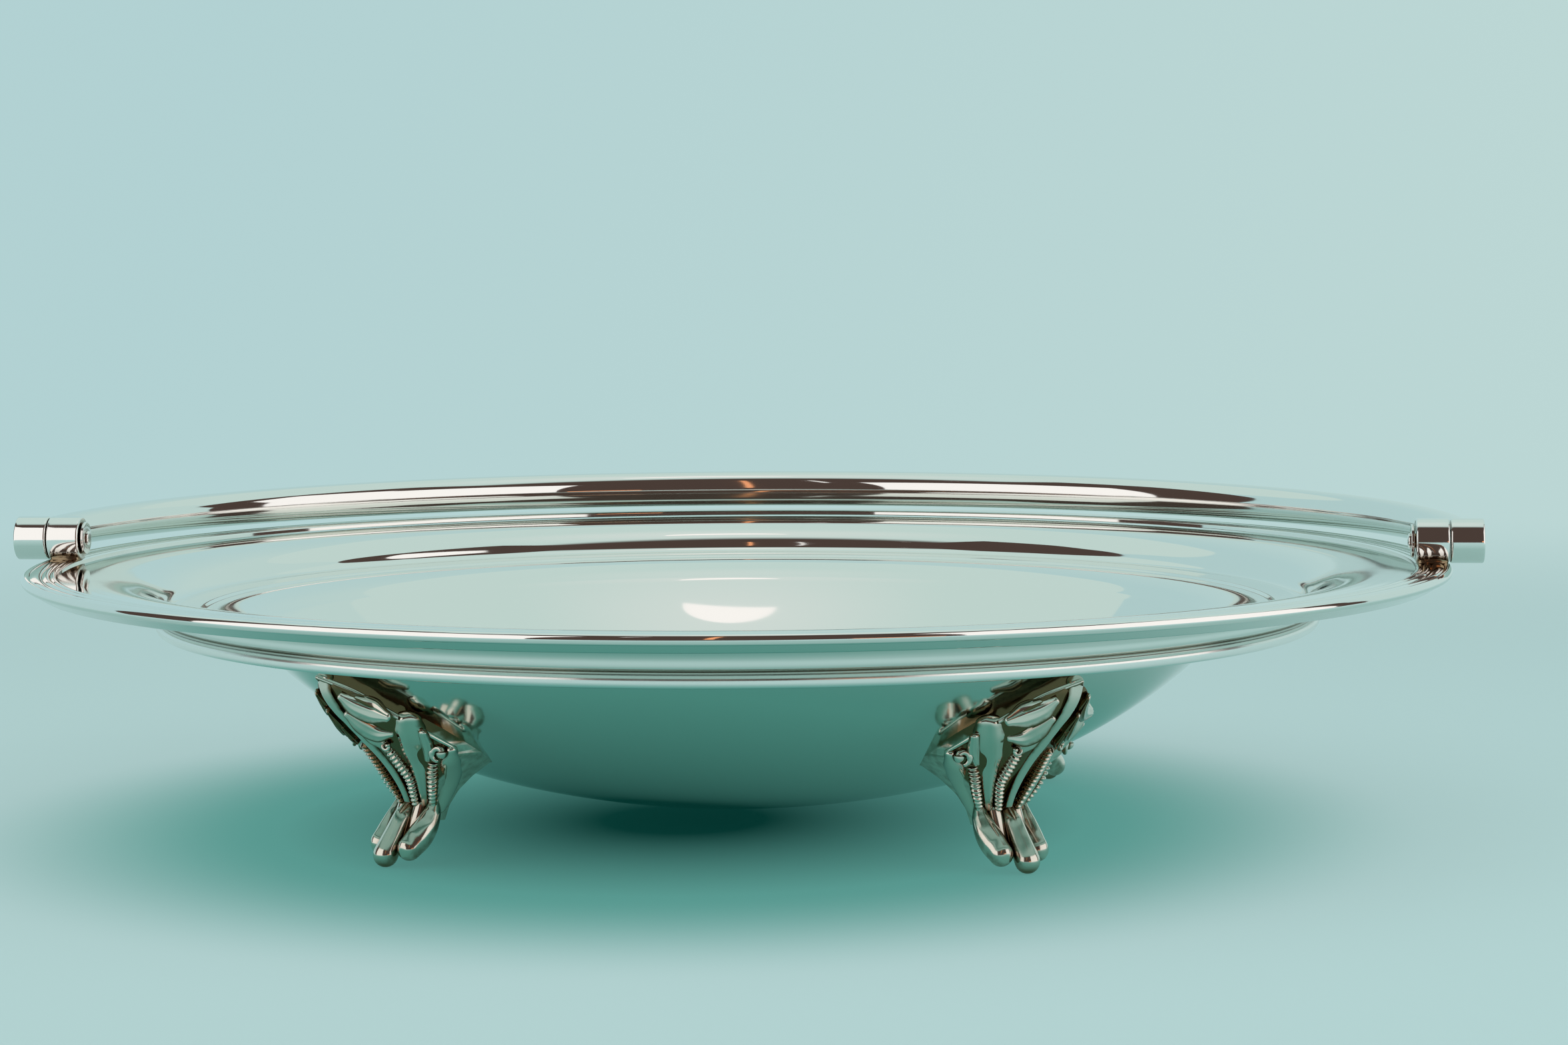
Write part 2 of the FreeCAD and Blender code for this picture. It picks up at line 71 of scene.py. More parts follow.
# Border, wire, handle and pivots
BORDER_INNER_RADIUS = 118.8
BORDER_STEP_HEIGHT = 0.3
BORDER_SEAT = 0.02
REED_GROOVES = [(120.0, 0.4), (121.4, 0.4), (123.5, 0.4)]
REED_CREST_RISE = 0.21
BEAD_DROP = 0.1
BEAD_NECK = (124.25, 1.1)
BORDER_LIP = (122.0, 2.45)
BORDER_LIP_WIDTH = 0.6
WIRE_RADIUS = 1.35
WIRE_RING_RADIUS = 100.9
WIRE_DROP = 8.9
BARREL_RADIUS = 3.9
BARREL_LENGTH = 5.8
BARREL_INNER_END = 118.8
KNOB_GAP = 0.4
KNOB_LENGTH = 5.6
PIN_RADIUS = 1.3
PIN_TIP_LENGTH = 0.5
PIN_LENGTH = 6.0
WASHER_RADIUS = 2.9
WASHER_THICKNESS = 0.55
WASHER_GAP = 0.25
EDGE_ROUND = 0.35
WASHER_ROUND = 0.15
PIN_ROUND = 0.4
PIVOT_HEIGHT = 50.22
KNOB_SEAT = 0.25
SOLDER_START = 119.1
SOLDER_END = 124.3
SOLDER_FOOT = (3.5, 46.2)
SOLDER_HOLLOW = (2.55, 46.5)
SOLDER_TOP = (2.5, 47.3)
SOLDER_MELT = 0.75
SOLDER_SUNK = 0.3
BAIL_DEPTH = 120.0
BAIL_RISE_TO_BACK = 0.75
BAIL_MID_RADIUS = 3.55
BAIL_END_RADIUS = 2.65
BAIL_TAPER_POWER = 0.45

# Cast feet, drawn in the radial plane of the +X side: radius, distance to the side, height.
# Lines of the relief run along its crests.
FOOT_ANGLES = {"front_left": 225.6, "front_right": 314.4, "back_left": 134.4, "back_right": 45.6}
# Height, front, shoulder, half width of the shoulder, side edge, half width of the leg, back
LEG_LEVELS = [
    (7.5, 69.4, 68.4, 3.9, 67.4, 4.4, 67.0),
    (10.0, 70.4, 69.4, 4.3, 67.2, 4.9, 66.4),
    (12.5, 71.4, 70.6, 5.5, 67.2, 6.1, 65.4),
    (15.0, 73.2, 71.2, 7.2, 67.8, 8.4, 64.2),
    (17.5, 75.6, 71.8, 8.8, 68.6, 11.3, 62.5),
    (19.4, 77.3, 72.4, 10.6, 70.0, 13.0, 61.0),
    (22.5, 80.4, 76.2, 9.8, 72.8, 13.0, 61.0),
    (25.0, 82.9, 78.0, 10.2, 74.6, 13.0, 62.0),
    (28.0, 85.6, 80.4, 10.2, 76.8, 13.0, 64.0),
    (31.0, 87.4, 82.0, 10.2, 78.2, 13.0, 66.0),
    (36.0, 88.5, 83.0, 10.2, 79.4, 13.0, 66.0),
]
LEG_FREE_HEIGHT = 17.5
ROOF_EDGE = [
    (88.9, 0.0, 33.0), (84.6, 4.4, 30.4), (80.3, 8.8, 26.9), (75.1, 12.0, 23.3), (71.4, 13.0, 21.2)]
ROOF_FALL = 0.25
RIB = [
    (88.4, 0, 32.4), (87.8, 0, 30.0), (85.8, 0, 27.0), (82.8, 0, 24.0), (79.7, 0, 21.0),
    (76.7, 0, 18.0), (74.3, 0, 15.0), (72.5, 0, 12.0), (71.3, 0, 9.0)]
RIB_WIDTHS = [1.45, 1.4, 1.35, 1.25, 1.15, 1.05, 0.95, 0.8, 0.75]
RIB_DEPTHS = [1.1, 1.1, 1.1, 1.1, 1.0, 1.0, 1.0, 1.0, 0.9]
RIB_UP = (1.0, 0.0, 0.3)
STRAP_RELIEF = 0.12
STRAP_POWER = 1.5
ROPES = [
    [(77.7, 4.1, 19.8), (75.9, 4.1, 17.4), (74.1, 4.1, 15.0), (72.7, 3.2, 12.3), (71.3, 2.1, 9.4)],
    [(72.6, 8.9, 18.2), (72.4, 8.2, 16.4), (72.0, 7.6, 14.5), (71.3, 6.6, 12.5), (70.0, 4.9, 9.8)],
]
ROPE_WIDTHS = [0.95, 0.92, 0.86, 0.76, 0.6]
ROPE_PITCH = 0.85
ROPE_RELIEF = 0.19
PETAL = [
    (78.9, 10.5, 25.3), (77.9, 9.6, 23.0), (75.9, 7.7, 20.0), (74.1, 6.5, 17.5), (72.9, 5.7, 15.0),
    (71.8, 4.7, 12.5), (70.4, 3.3, 9.6)]
PETAL_WIDTHS = [2.4, 2.9, 2.3, 1.75, 1.3, 0.95, 0.6]
PETAL_DEPTHS = [1.3, 1.5, 1.3, 1.1, 0.9, 0.8, 0.6]
# Relief of a section as a share of its size, the angle of its middle and its reach, in radians
PETAL_CREST = (0.2, 1.3, 0.2)
PETAL_HOLLOW = (0.16, 1.95, 0.42)
TOE_CREST = (0.1, math.pi / 2, 0.3)
FLANK = [
    (71.4, 13.3, 20.0), (70.4, 12.2, 18.2), (69.2, 10.0, 16.2), (68.5, 7.8, 14.2), (68.4, 6.2, 12.0),
    (68.7, 4.9, 9.4)]
FLANK_WIDTHS = [1.0, 1.8, 2.2, 2.2, 1.9, 1.5]
FLANK_DEPTHS = [0.8, 1.2, 1.4, 1.4, 1.3, 1.2]
LEAVES = [
    ([(87.0, 3.8, 29.7), (85.4, 4.9, 28.4), (83.2, 7.0, 27.2), (81.8, 9.3, 26.4)], [0.7, 1.8, 2.1, 0.9]),
    ([(85.3, 3.1, 26.6), (83.1, 4.2, 24.8), (80.9, 5.4, 23.5), (79.3, 7.0, 23.3)], [0.7, 1.8, 1.8, 0.7]),
    ([(82.6, 2.8, 23.8), (80.6, 3.8, 22.2), (79.0, 4.4, 21.0)], [0.6, 1.2, 0.9]),
    ([(76.6, 12.0, 23.3), (75.1, 10.8, 21.1), (73.5, 8.7, 18.3)], [0.8, 1.1, 0.5]),
]
LEAF_DEPTH_SHARE = 0.62
VEIN_RELIEF = 0.07
VEIN_COUNT = 11
# Centre, reach, half width of the wire, first angle and turn
CURLS = [((72.9, 11.3, 19.9), 1.3, 0.68, 250, -240), ((78.6, 4.6, 20.9), 0.75, 0.36, 90, 300)]
CURL_CLOSING = 0.5
CURL_LIFT = 0.3
CURL_START_SHARE = 0.6
CURL_GROWTH = 3
CURL_KNOB_SHARE = 1.5
LIP = [
    (89.0, 0.4, 32.9), (84.8, 4.4, 30.5), (80.5, 8.8, 27.0), (75.3, 12.0, 23.4), (71.0, 13.3, 20.8)]
LIP_WIDTHS = [0.45, 0.5, 0.5, 0.5, 0.4]
LIP_UP = (0.7, 0.5, 0.5)
RELIEF_UP = (0.8, 0.6, 0.0)
FLANK_UP = (0.35, 0.94, 0.0)
CENTRE_TOE = [(71.2, 0, 9.6), (72.3, 0, 8.2), (74.2, 0, 5.0), (76.0, 0, 2.1)]
CENTRE_TOE_WIDTHS = [1.2, 1.6, 1.9, 2.12]
SIDE_TOE = [(69.2, 4.6, 11.2), (69.6, 4.5, 9.2), (70.7, 4.3, 6.9), (72.2, 4.05, 4.9), (73.9, 3.9, 3.35)]
SIDE_TOE_WIDTHS = [0.8, 1.45, 2.05, 2.25, 2.05]
TOE_UP = (1.0, 0.0, 0.6)
SIDE_TOE_UP = (1.0, 0.2, 0.6)
WEB = [(70.2, 2.2, 10.0), (71.0, 2.2, 7.6), (72.4, 2.1, 5.0)]
WEB_WIDTHS = [1.3, 1.4, 0.9]

# Tarnish, from 0 for bright to 1 for brown
TARNISH_LEVEL = 1.08
TARNISH_SLOPE = 1.2
LEG_FRONT_SHARE = 0.9
LEG_FRONT_TARNISH = 0.88
LEG_SIDE_TARNISH = 0.3
ROOF_TARNISH = 0.78
FLANK_PATINA = 0.4
CENTRE_TOE_PATINA = 0.5
SIDE_TOE_PATINA = 0.4

# Fineness of the meshes
TURNS = 360
CURVE_STEPS = 10
EDGE_STEPS = 6
BARREL_STEPS = 4
PIVOT_TURNS = 96
BAIL_STATIONS = 300
BAIL_SIDES = 64
SOLDER_STEPS = 24
SOLDER_SLOPE_STEPS = 8
RIDGE_STEPS = 8
ROPE_STEPS = 28
END_CAP_STEPS = 6
END_CAP_TIP = 0.02
CURL_POINTS = 12
LEG_ROWS = 48
LEG_COLUMNS = 56
LEG_PASSES = 24
ROOF_PASSES = 8
FLOOR_STEPS = 24
FLOOR_TURNS = 128
CREASE_ANGLE = 40
SOLDER_CREASE_ANGLE = 60
FOOT_CREASE_ANGLE = 50
FLOOR_CREASE_ANGLE = 80

# Camera, fitted to the photograph
CAMERA_PLACE = (76.63, -693.07, 107.44)
CAMERA_TURN = (85.548, 0.346, 5.611)
CAMERA_LENS = 90.59
CAMERA_SENSOR = 36.0
CAMERA_CLIP = (0.05, 20.0)

# Materials
SILVER = (0.93, 0.915, 0.885, 1)
BROWN_TARNISH = (0.20, 0.135, 0.07, 1)
SOLDER_BROWN = (0.46, 0.37, 0.25, 1)
WORN_SILVER = (0.76, 0.72, 0.63, 1)
# Colour of the plate where it faces down: painted shade, tinted teal
PAINTED_UNDERSIDE_SHADE = (0.64, 0.71, 0.66, 1)
DULL_ROUGHNESS = 0.045
UNDERSIDE_RANGE = (-0.3, 0.0)
PLATE_ROUGHNESS = 0.045
SMEAR_SCALE = 45.0
SMEAR_RANGE = (0.35, 0.75)
SMEAR_SHARES = (0.7, 1.6)
TARNISH_REACH = 2.6
HOLLOW_RANGE = (0.25, 0.9)
PATCH_SCALE = 600.0
PATCH_DEPTH = 0.5
BROWN_RANGE = (0.15, 0.65)
CLOTH_ROUGHNESS = 0.9
CLOTH_SHEEN = 0.1

# Studio. Under the bowl the cloth has a painted shadow, darker from edge to core: in its colour, and in a
# glow that makes up SHADE_SHARE of what is seen there.
PALE_AQUA = (0.47, 0.66, 0.66, 1)
# Painted shadow: base colour of the cloth under the bowl
PAINTED_SHADOW_TEAL = (0.08, 0.46, 0.41, 1)
# Glow colours of the painted shadow, from its core under the bowl out to its edge
SHADE_CORE = (0.001, 0.04, 0.032, 1)
SHADE_MIDDLE = (0.14, 0.40, 0.355, 1)
SHADE_EDGE = (0.46, 0.645, 0.635, 1)
SHADE_CORE_RADIUS = 16.0
SHADE_MIDDLE_RADIUS = 80.0
SHADE_EDGE_RADIUS = 150.0
SHADE_SHARE = 0.65
SHADE_MIDDLE_X = -10.0
SHADE_NARROWING = 1.12
BACKDROP_LEFT = (0.445, 0.64, 0.65, 1)
BACKDROP_RIGHT = (0.515, 0.685, 0.665, 1)
BACKDROP_HALF_WIDTH = 450.0
BACKDROP_START = 300.0
BACKDROP_END = 750.0
FLOOR_FLAT = 1100.0
FLOOR_SWEEP = 600.0
BACKDROP_HEIGHT = 1500.0
# Place, width, height and radiance of each lamp
LAMPS = {
    "key": ((0.0, 0.0, 900.0), 900.0, 900.0, 0.35),
    "left_light": ((-430.0, -170.0, 300.0), 700.0, 560.0, 0.9),
    "right_light": ((430.0, -170.0, 300.0), 700.0, 560.0, 1.3),
}
WORLD_COLOUR = (0.63, 0.66, 0.655, 1)
WORLD_STRENGTH = 1.0
WORLD_SEEN = (0.547, 0.705, 0.675, 1)

# Cards that only the silver sees: a white tent that is open in front, and what lies in its openings
CARD_COLOURS = {
    "white": (1.0, 0.985, 0.965, 1),
    "dark": (0.072, 0.05, 0.042, 1),
    "warm": (1.0, 0.42, 0.20, 1),
}
CARDS = {
    "left_front": ("white", [(-200, -500, 0), (-380, -211, 0), (-380, -211, 560), (-200, -500, 680)]),
    "left_side": ("white", [(-380, -211, 0), (-506, -135, 0), (-506, -110, 560), (-380, -211, 560)]),
    "right_front": ("white", [(375, -500, 0), (490, -59, 0), (490, -59, 600), (375, -500, 680)]),
    "right_back": ("white", [
        (490, -59, 0), (490, 80, 0), (490, 100, 264), (490, 190, 403), (490, 170, 590), (490, -59, 650)]),
    "room_front": ("dark", [(-900, -620, -1), (900, -620, -1), (900, -620, 1250), (-900, -620, 1250)]),
    "room_left": ("dark", [
        (-600, -620, -1), (-600, 20, -1), (-600, 165, 400), (-600, 160, 900), (-600, 60, 1240),
        (-600, -620, 1250)]),
    "room_right": ("dark", [
        (640, -620, -1), (640, 248, -1), (640, 280, 300), (640, 415, 480), (640, 300, 800),
        (640, 60, 1240), (640, -620, 1250)]),
    "small_softbox": ("white", [
        (-372, -250, 880), (-336, -214, 880), (-336, -214, 965), (-372, -250, 965)]),
    "warm_strip": ("warm", [(18, -610, 150), (32, -610, 150), (32, -610, 1200), (18, -610, 1200)]),
    "warm_row": ("warm", [(240, -610, 20), (420, -610, 20), (420, -610, 75), (240, -610, 75)]),
    "white_strip": ("white", [
        (-160, -610, 700), (-145, -610, 700), (-145, -610, 1200), (-160, -610, 1200)]),
}
ROOF = [(-1500, -620, 1250), (1500, -620, 1250), (1500, 1500, 1250), (-1500, 1500, 1250)]
ROOF_FRONT_DARK = -340.0
ROOF_FRONT_PALE = -80.0
ROOF_CENTRE_COLOUR = (0.66, 0.755, 0.73, 1)
ROOF_CENTRE = (0.0, 180.0, 1250.0)
ROOF_CENTRE_REACH = 620.0
ROOF_LAMP_PLACE = (8.0, 100.0, 1090.0)
ROOF_LAMP_RADIUS = 100.0
ROOF_LAMP_STEPS = 16


def at_rim(radius, drop):
    """Point of an outline, below the top of the rim."""
    return Vector((radius, RIM_HEIGHT - drop))


def straight(start, end, steps=1):
    """Points of a straight line."""
    return [start.lerp(end, step / steps) for step in range(steps + 1)]


def signed_angle(first, second):
    """Turn from one direction of a plane to another, in radians."""
    return math.atan2(first.x * second.y - first.y * second.x, first.dot(second))


def arc(start, middle, end, steps):
    """Points of the circular arc through three points of a plane."""
    ax, ay = start
    bx, by = middle
    cx, cy = end
    spread = 2 * (ax * (by - cy) + bx * (cy - ay) + cx * (ay - by))
    a2, b2, c2 = start.length_squared, middle.length_squared, end.length_squared
    centre = Vector((
        (a2 * (by - cy) + b2 * (cy - ay) + c2 * (ay - by)) / spread,
        (a2 * (cx - bx) + b2 * (ax - cx) + c2 * (bx - ax)) / spread))
    first = start - centre
    total = signed_angle(first, middle - centre) + signed_angle(middle - centre, end - centre)
    return [centre + Matrix.Rotation(total * step / steps, 2) @ first for step in range(steps + 1)]


def hermite(start, leave, end, arrive, steps):
    """Points of the span from start to end that leaves and arrives at the given tangents."""
    made = []
    for step in range(1, steps + 1):
        t = step / steps
        made.append(
            start * (2 * t ** 3 - 3 * t ** 2 + 1) + leave * (t ** 3 - 2 * t ** 2 + t)
            + end * (3 * t ** 2 - 2 * t ** 3) + arrive * (t ** 3 - t ** 2))
    return made


def tangent(before, point, after, span):
    """Direction of a curve at a point between two others, for a span of the given length."""
    back = (point - before).length
    ahead = (after - point).length
    return span * ((point - before) / back + (after - point) / ahead - (after - before) / (back + ahead))


def curve(points, steps=CURVE_STEPS):
    """Smooth curve through the points: centripetal spans with even tangents."""
    padded = [2 * points[0] - points[1]] + points + [2 * points[-1] - points[-2]]
    made = [points[0]]
    for before, start, end, after in zip(padded, padded[1:], padded[2:], padded[3:]):
        span = (end - start).length
        leave = tangent(before, start, end, span) if before != padded[0] else end - start
        arrive = tangent(start, end, after, span) if after != padded[-1] else end - start
        made += hermite(start, leave, end, arrive, steps)
    return made


def joined(*stretches):
    """One outline from stretches that meet end to end."""
    outline = []
    for stretch in stretches:
        outline += [point for point in stretch if not outline or (point - outline[-1]).length > SAME_PLACE]
    return outline


def placed(name, data):
    """New object of the scene that shows the data."""
    made = bpy.data.objects.new(name, data)
    bpy.context.scene.collection.objects.link(made)
    return made


def make_mesh(name, corners, faces, crease_angle=CREASE_ANGLE, tarnish=None):
    """Smooth-shaded object, with its tarnish at each corner where that is given."""
    mesh = bpy.data.meshes.new(name)
    mesh.from_pydata([corner * MM for corner in corners], [], faces)
    if tarnish:
        attribute = mesh.attributes.new("tarnish", "FLOAT", "POINT")
        attribute.data.foreach_set("value", tarnish)
    mesh.validate()
    mesh.shade_smooth()
    mesh.set_sharp_from_angle(angle=math.radians(crease_angle))
    return placed(name, mesh)


def lathe(name, outline, place, turns=TURNS, closed=True, crease_angle=CREASE_ANGLE):
    """Surface of revolution. Outline points lie at a radius and along the axis."""
    corners = []
    faces = []
    rings = []
    for point in outline:
        around = turns if point.x > ON_AXIS else 1
        first = len(corners)
        corners += [place(point, 2 * math.pi * turn / turns) for turn in range(around)]
        rings.append([first + turn % around for turn in range(turns)])
    pairs = list(zip(rings, rings[1:]))
    if closed:
        pairs.append((rings[-1], rings[0]))
    for low, high in pairs:
        for turn in range(turns):
            after = (turn + 1) % turns
            face = list(dict.fromkeys([low[turn], low[after], high[after], high[turn]]))
            if len(face) > 2:
                faces.append(face)
    return make_mesh(name, corners, faces, crease_angle)


def about_bowl_axis(point, angle):
    """Place of an outline point that has turned about the upright axis."""
    return Vector((point.x * math.cos(angle), point.x * math.sin(angle), point.y))


def about_pivot_axis(point, angle):
    """Place of an outline point that has turned about the axis of the handle."""
    return Vector((point.y, point.x * math.sin(angle), PIVOT_HEIGHT + point.x * math.cos(angle)))


def loft_faces(ring_count, sides, last_face=True):
    """Faces of a tube of rings, with a face over the first and the last."""
    faces = []
    for ring in range(ring_count - 1):
        for side in range(sides):
            low = ring * sides
            after = (side + 1) % sides
            faces.append([low + side, low + after, low + sides + after, low + sides + side])
    faces.append(list(range(sides - 1, -1, -1)))
    if last_face:
        faces.append(list(range((ring_count - 1) * sides, ring_count * sides)))
    return faces


def well_wall_centre():
    """Centre of the wall arc of the well, as a radius and a height."""
    blend = math.radians(WELL_FLOOR_ANGLE)
    change = WELL_FLOOR_RADIUS - WELL_WALL_RADIUS
    height = BOWL_CLEARANCE + WELL_FLOOR_RADIUS - change * math.cos(blend)
    return Vector((change * math.sin(blend), height))


def well_arcs(arc_offset, lip_height):
    """Points of the two tangent arcs of the well, from the lip down to the axis."""
    bottom = BOWL_CLEARANCE + arc_offset
    floor_radius = WELL_FLOOR_RADIUS - arc_offset
    wall_radius = WELL_WALL_RADIUS - arc_offset
    blend = math.radians(WELL_FLOOR_ANGLE)
    wall_centre = well_wall_centre()
    lip_angle = math.acos((wall_centre.y - lip_height) / wall_radius)
    steps = 5 * CURVE_STEPS
    wall = [
        wall_centre + wall_radius * Vector((math.sin(angle), -math.cos(angle)))
        for angle in (lip_angle + (blend - lip_angle) * step / steps for step in range(steps + 1))]
    floor = [
        Vector((floor_radius * math.sin(angle), bottom + floor_radius * (1 - math.cos(angle))))
        for angle in (blend - blend * step / steps for step in range(1, steps + 1))]
    floor[-1].x = 0
    return wall + floor


def make_bowl():
    """One spun sheet: flange, step down, ledge and a well of two tangent arcs."""
    inner = well_arcs(SHEET_THICKNESS, RIM_HEIGHT - WELL_LIP_DROP)
    outer = well_arcs(0, RIM_HEIGHT - UNDER_LIP_DROP)
    outer.reverse()
    edge_top = at_rim(FLANGE_EDGE_RADIUS, 0)
    flat_top = at_rim(FLANGE_FLAT_RADIUS, 0)
    wall_foot = at_rim(*STEP_WALL_FOOT)
    hollow = [at_rim(*point) for point in STEP_HOLLOW]
    ledge_end = at_rim(*LEDGE_END)
    crease = at_rim(*LEDGE_CREASE)
    under_ledge = [at_rim(*UNDER_LEDGE_START), at_rim(*UNDER_LEDGE_END)]
    under_wall = [at_rim(*point) for point in UNDER_WALL]
    flat_under = at_rim(FLANGE_FLAT_RADIUS, SHEET_THICKNESS)
    edge_under = at_rim(FLANGE_EDGE_RADIUS, SHEET_THICKNESS)
    outline = joined(
        straight(edge_top, flat_top, CURVE_STEPS),
        curve([flat_top] + [at_rim(*point) for point in FLANGE_CURL] + [wall_foot]),
        arc(wall_foot, hollow[0], hollow[1], CURVE_STEPS),
        straight(hollow[1], ledge_end, CURVE_STEPS),
        straight(ledge_end, crease, 3),
        curve([crease] + [at_rim(*point) for point in WELL_LIP] + [inner[0]]),
        inner,
        outer,
        curve([outer[-1]] + [at_rim(*point) for point in UNDER_LIP] + [under_ledge[0]]),
        straight(under_ledge[0], under_ledge[1], CURVE_STEPS),
        curve([under_ledge[1]] + under_wall + [at_rim(*point) for point in UNDER_CURL] + [flat_under]),
        straight(flat_under, edge_under, CURVE_STEPS),
    )
    return lathe("silver_bowl", outline, about_bowl_axis)


def reed(start, end):
    """Rounded reed between two grooves."""
    crest = (start + end) * 0.5 + Vector((0, REED_CREST_RISE))
    return arc(start, crest, end, CURVE_STEPS)


def make_border():
    """Reeded ring over the edge of the flange: reeds above, bead outside, lip below."""
    inner_foot = at_rim(BORDER_INNER_RADIUS, BORDER_SEAT)
    step_top = at_rim(BORDER_INNER_RADIUS, -BORDER_STEP_HEIGHT)
    grooves = [step_top] + [at_rim(radius, -height) for radius, height in REED_GROOVES]
    neck = at_rim(*BEAD_NECK)
    lip_outer = at_rim(*BORDER_LIP)
    lip_inner = lip_outer - Vector((BORDER_LIP_WIDTH, 0))
    lip_root = Vector((lip_inner.x, RIM_HEIGHT - SHEET_THICKNESS))
    edge_under = at_rim(FLANGE_EDGE_RADIUS, SHEET_THICKNESS)
    outline = joined(
        straight(inner_foot, step_top, 2),
        *[reed(start, end) for start, end in zip(grooves, grooves[1:])],
        arc(grooves[-1], at_rim(RIM_RADIUS, BEAD_DROP), neck, 2 * CURVE_STEPS),
        straight(neck, lip_outer, CURVE_STEPS),
        straight(lip_outer, lip_inner, 2),
        straight(lip_inner, lip_root, 2),
        straight(lip_root, edge_under, 2),
        straight(edge_under, at_rim(FLANGE_EDGE_RADIUS, 0), 2),
    )
    return lathe("reeded_border", outline, about_bowl_axis)


def make_wire():
    """Wire soldered in the corner under the step."""
    centre = at_rim(WIRE_RING_RADIUS, WIRE_DROP)
    steps = 4 * CURVE_STEPS
    outline = [
        centre + WIRE_RADIUS * Vector((math.cos(angle), math.sin(angle)))
        for angle in (2 * math.pi * step / steps for step in range(steps))]
    return lathe("half_round_wire", outline, about_bowl_axis)


def make_bail():
    """Half-oval tube between the knobs, thinner towards its ends."""
    knob_middle = BARREL_INNER_END + BARREL_LENGTH + KNOB_GAP + KNOB_LENGTH / 2
    corners = []
    for station in range(BAIL_STATIONS + 1):
        angle = math.pi * station / BAIL_STATIONS
        rise = math.sin(angle)
        centre = Vector((
            knob_middle * math.cos(angle), BAIL_DEPTH * rise, PIVOT_HEIGHT + BAIL_RISE_TO_BACK * rise))
        along = Vector((
            -knob_middle * math.sin(angle), BAIL_DEPTH * math.cos(angle),
            BAIL_RISE_TO_BACK * math.cos(angle)))
        along.normalize()
        outward = along.cross(Vector((0, 0, 1))).normalized()
        upward = outward.cross(along)
        growth = max(rise, 0) ** BAIL_TAPER_POWER
        radius = BAIL_END_RADIUS + (BAIL_MID_RADIUS - BAIL_END_RADIUS) * growth
        for side in range(BAIL_SIDES):
            turn = 2 * math.pi * side / BAIL_SIDES
            corners.append(centre + radius * (outward * math.cos(turn) + upward * math.sin(turn)))
    return make_mesh("swing_handle", corners, loft_faces(BAIL_STATIONS + 1, BAIL_SIDES))


def rounded_cylinder(name, start, length, radius, round_over, side):
    """Cylinder on the pivot axis with rounded end edges, on the side given by +1 or -1."""
    end = start + length
    corner = round_over * (1 - math.sqrt(0.5))
    outline = joined(
        [Vector((0, start))],
        straight(Vector((radius / 2, start)), Vector((radius - round_over, start))),
        arc(Vector((radius - round_over, start)), Vector((radius - corner, start + corner)),
            Vector((radius, start + round_over)), EDGE_STEPS),
        straight(Vector((radius, start + round_over)), Vector((radius, end - round_over)), BARREL_STEPS),
        arc(Vector((radius, end - round_over)), Vector((radius - corner, end - corner)),
            Vector((radius - round_over, end)), EDGE_STEPS),
        [Vector((radius / 2, end)), Vector((0, end))],
    )
    outline = [Vector((point.x, side * point.y)) for point in outline]
    if side < 0:
        outline.reverse()
    return lathe(name, outline, about_pivot_axis, turns=PIVOT_TURNS, closed=False)


def make_solder(name, side):
    """Hollow fillets of solder between the barrel of a pivot and the rim, on the side given by +1 or -1."""
    foot, hollow, top = Vector(SOLDER_FOOT), Vector(SOLDER_HOLLOW), Vector(SOLDER_TOP)
    slope = curve([foot, hollow, top], SOLDER_SLOPE_STEPS)
    half = slope + [Vector((top.x / 2, top.y)), Vector((0, top.y))]
    section = half + [Vector((-point.x, point.y)) for point in reversed(half[:-1])]
    section += [Vector((-foot.x, foot.y - SOLDER_SUNK)), Vector((foot.x, foot.y - SOLDER_SUNK))]
    corners = []
    for step in range(SOLDER_STEPS + 1):
        share = step / SOLDER_STEPS
        along = SOLDER_START + (SOLDER_END - SOLDER_START) * share
        swell = SOLDER_MELT + (1 - SOLDER_MELT) * math.sin(math.pi * share) ** 0.5
        for point in section:
            corners.append(Vector((side * along, swell * point.x, point.y)))
    return make_mesh(name, corners, loft_faces(SOLDER_STEPS + 1, len(section)), SOLDER_CREASE_ANGLE)


class Casting:
    """Mesh of one cast foot, gathered in the radial plane of the +X side."""

    def __init__(self):
        self.corners = []
        self.faces = []
        self.tarnish = []

    def add(self, corners, faces, tarnish):
        first = len(self.corners)
        self.corners += corners
        self.faces += [[first + corner for corner in face] for face in faces]
        self.tarnish += tarnish

    def add_both(self, corners, faces, tarnish):
        """Adds a detail and its mirror image on the other side of the radial plane."""
        self.add(corners, faces, tarnish)
        mirrored = [Vector((corner.x, -corner.y, corner.z)) for corner in corners]
        self.add(mirrored, [list(reversed(face)) for face in faces], tarnish)


def spread(values, steps):
    """Even values along a curve, from the values at the points that it goes through."""
    padded = [values[0]] + values + [values[-1]]
    made = [values[0]]
    for before, start, end, after in zip(padded, padded[1:], padded[2:], padded[3:]):
        made += hermite(start, (end - before) / 2, end, (after - start) / 2, steps)
    return made


def end_cap(point, along, width, depth):
    """Shrinking rings that round off the end of a ridge, from its last ring outwards."""
    rings = []
    for step in range(1, END_CAP_STEPS + 1):
        turn = math.pi / 2 * step / END_CAP_STEPS
        reach = min(width, depth) * math.sin(turn)
        shrink = max(math.cos(turn), END_CAP_TIP)
        rings.append((point + along * reach, along, width * shrink, depth * shrink))
    return rings


def plain_section(travelled, angle):
    """Oval."""
    return 1.0


def rope_section(travelled, angle):
    """Strands laid at a slant round the rope."""
    return 1.0 + ROPE_RELIEF * math.cos(2 * math.pi * travelled / ROPE_PITCH + angle)


def strap_section(travelled, angle):
    """Flattened crest between two rounded edges."""
    return 1.0 + STRAP_RELIEF * abs(math.sin(2 * angle)) ** STRAP_POWER


def bump(angle, relief, middle, reach):
    """Rise of a section that fades out to both sides of an angle."""
    return relief * math.exp(-((angle - middle) / reach) ** 2)


def petal_section(travelled, angle):
    """Two hollow facets that meet in an off-centre ridge."""
    return 1.0 + bump(angle, *PETAL_CREST) - bump(angle, *PETAL_HOLLOW)


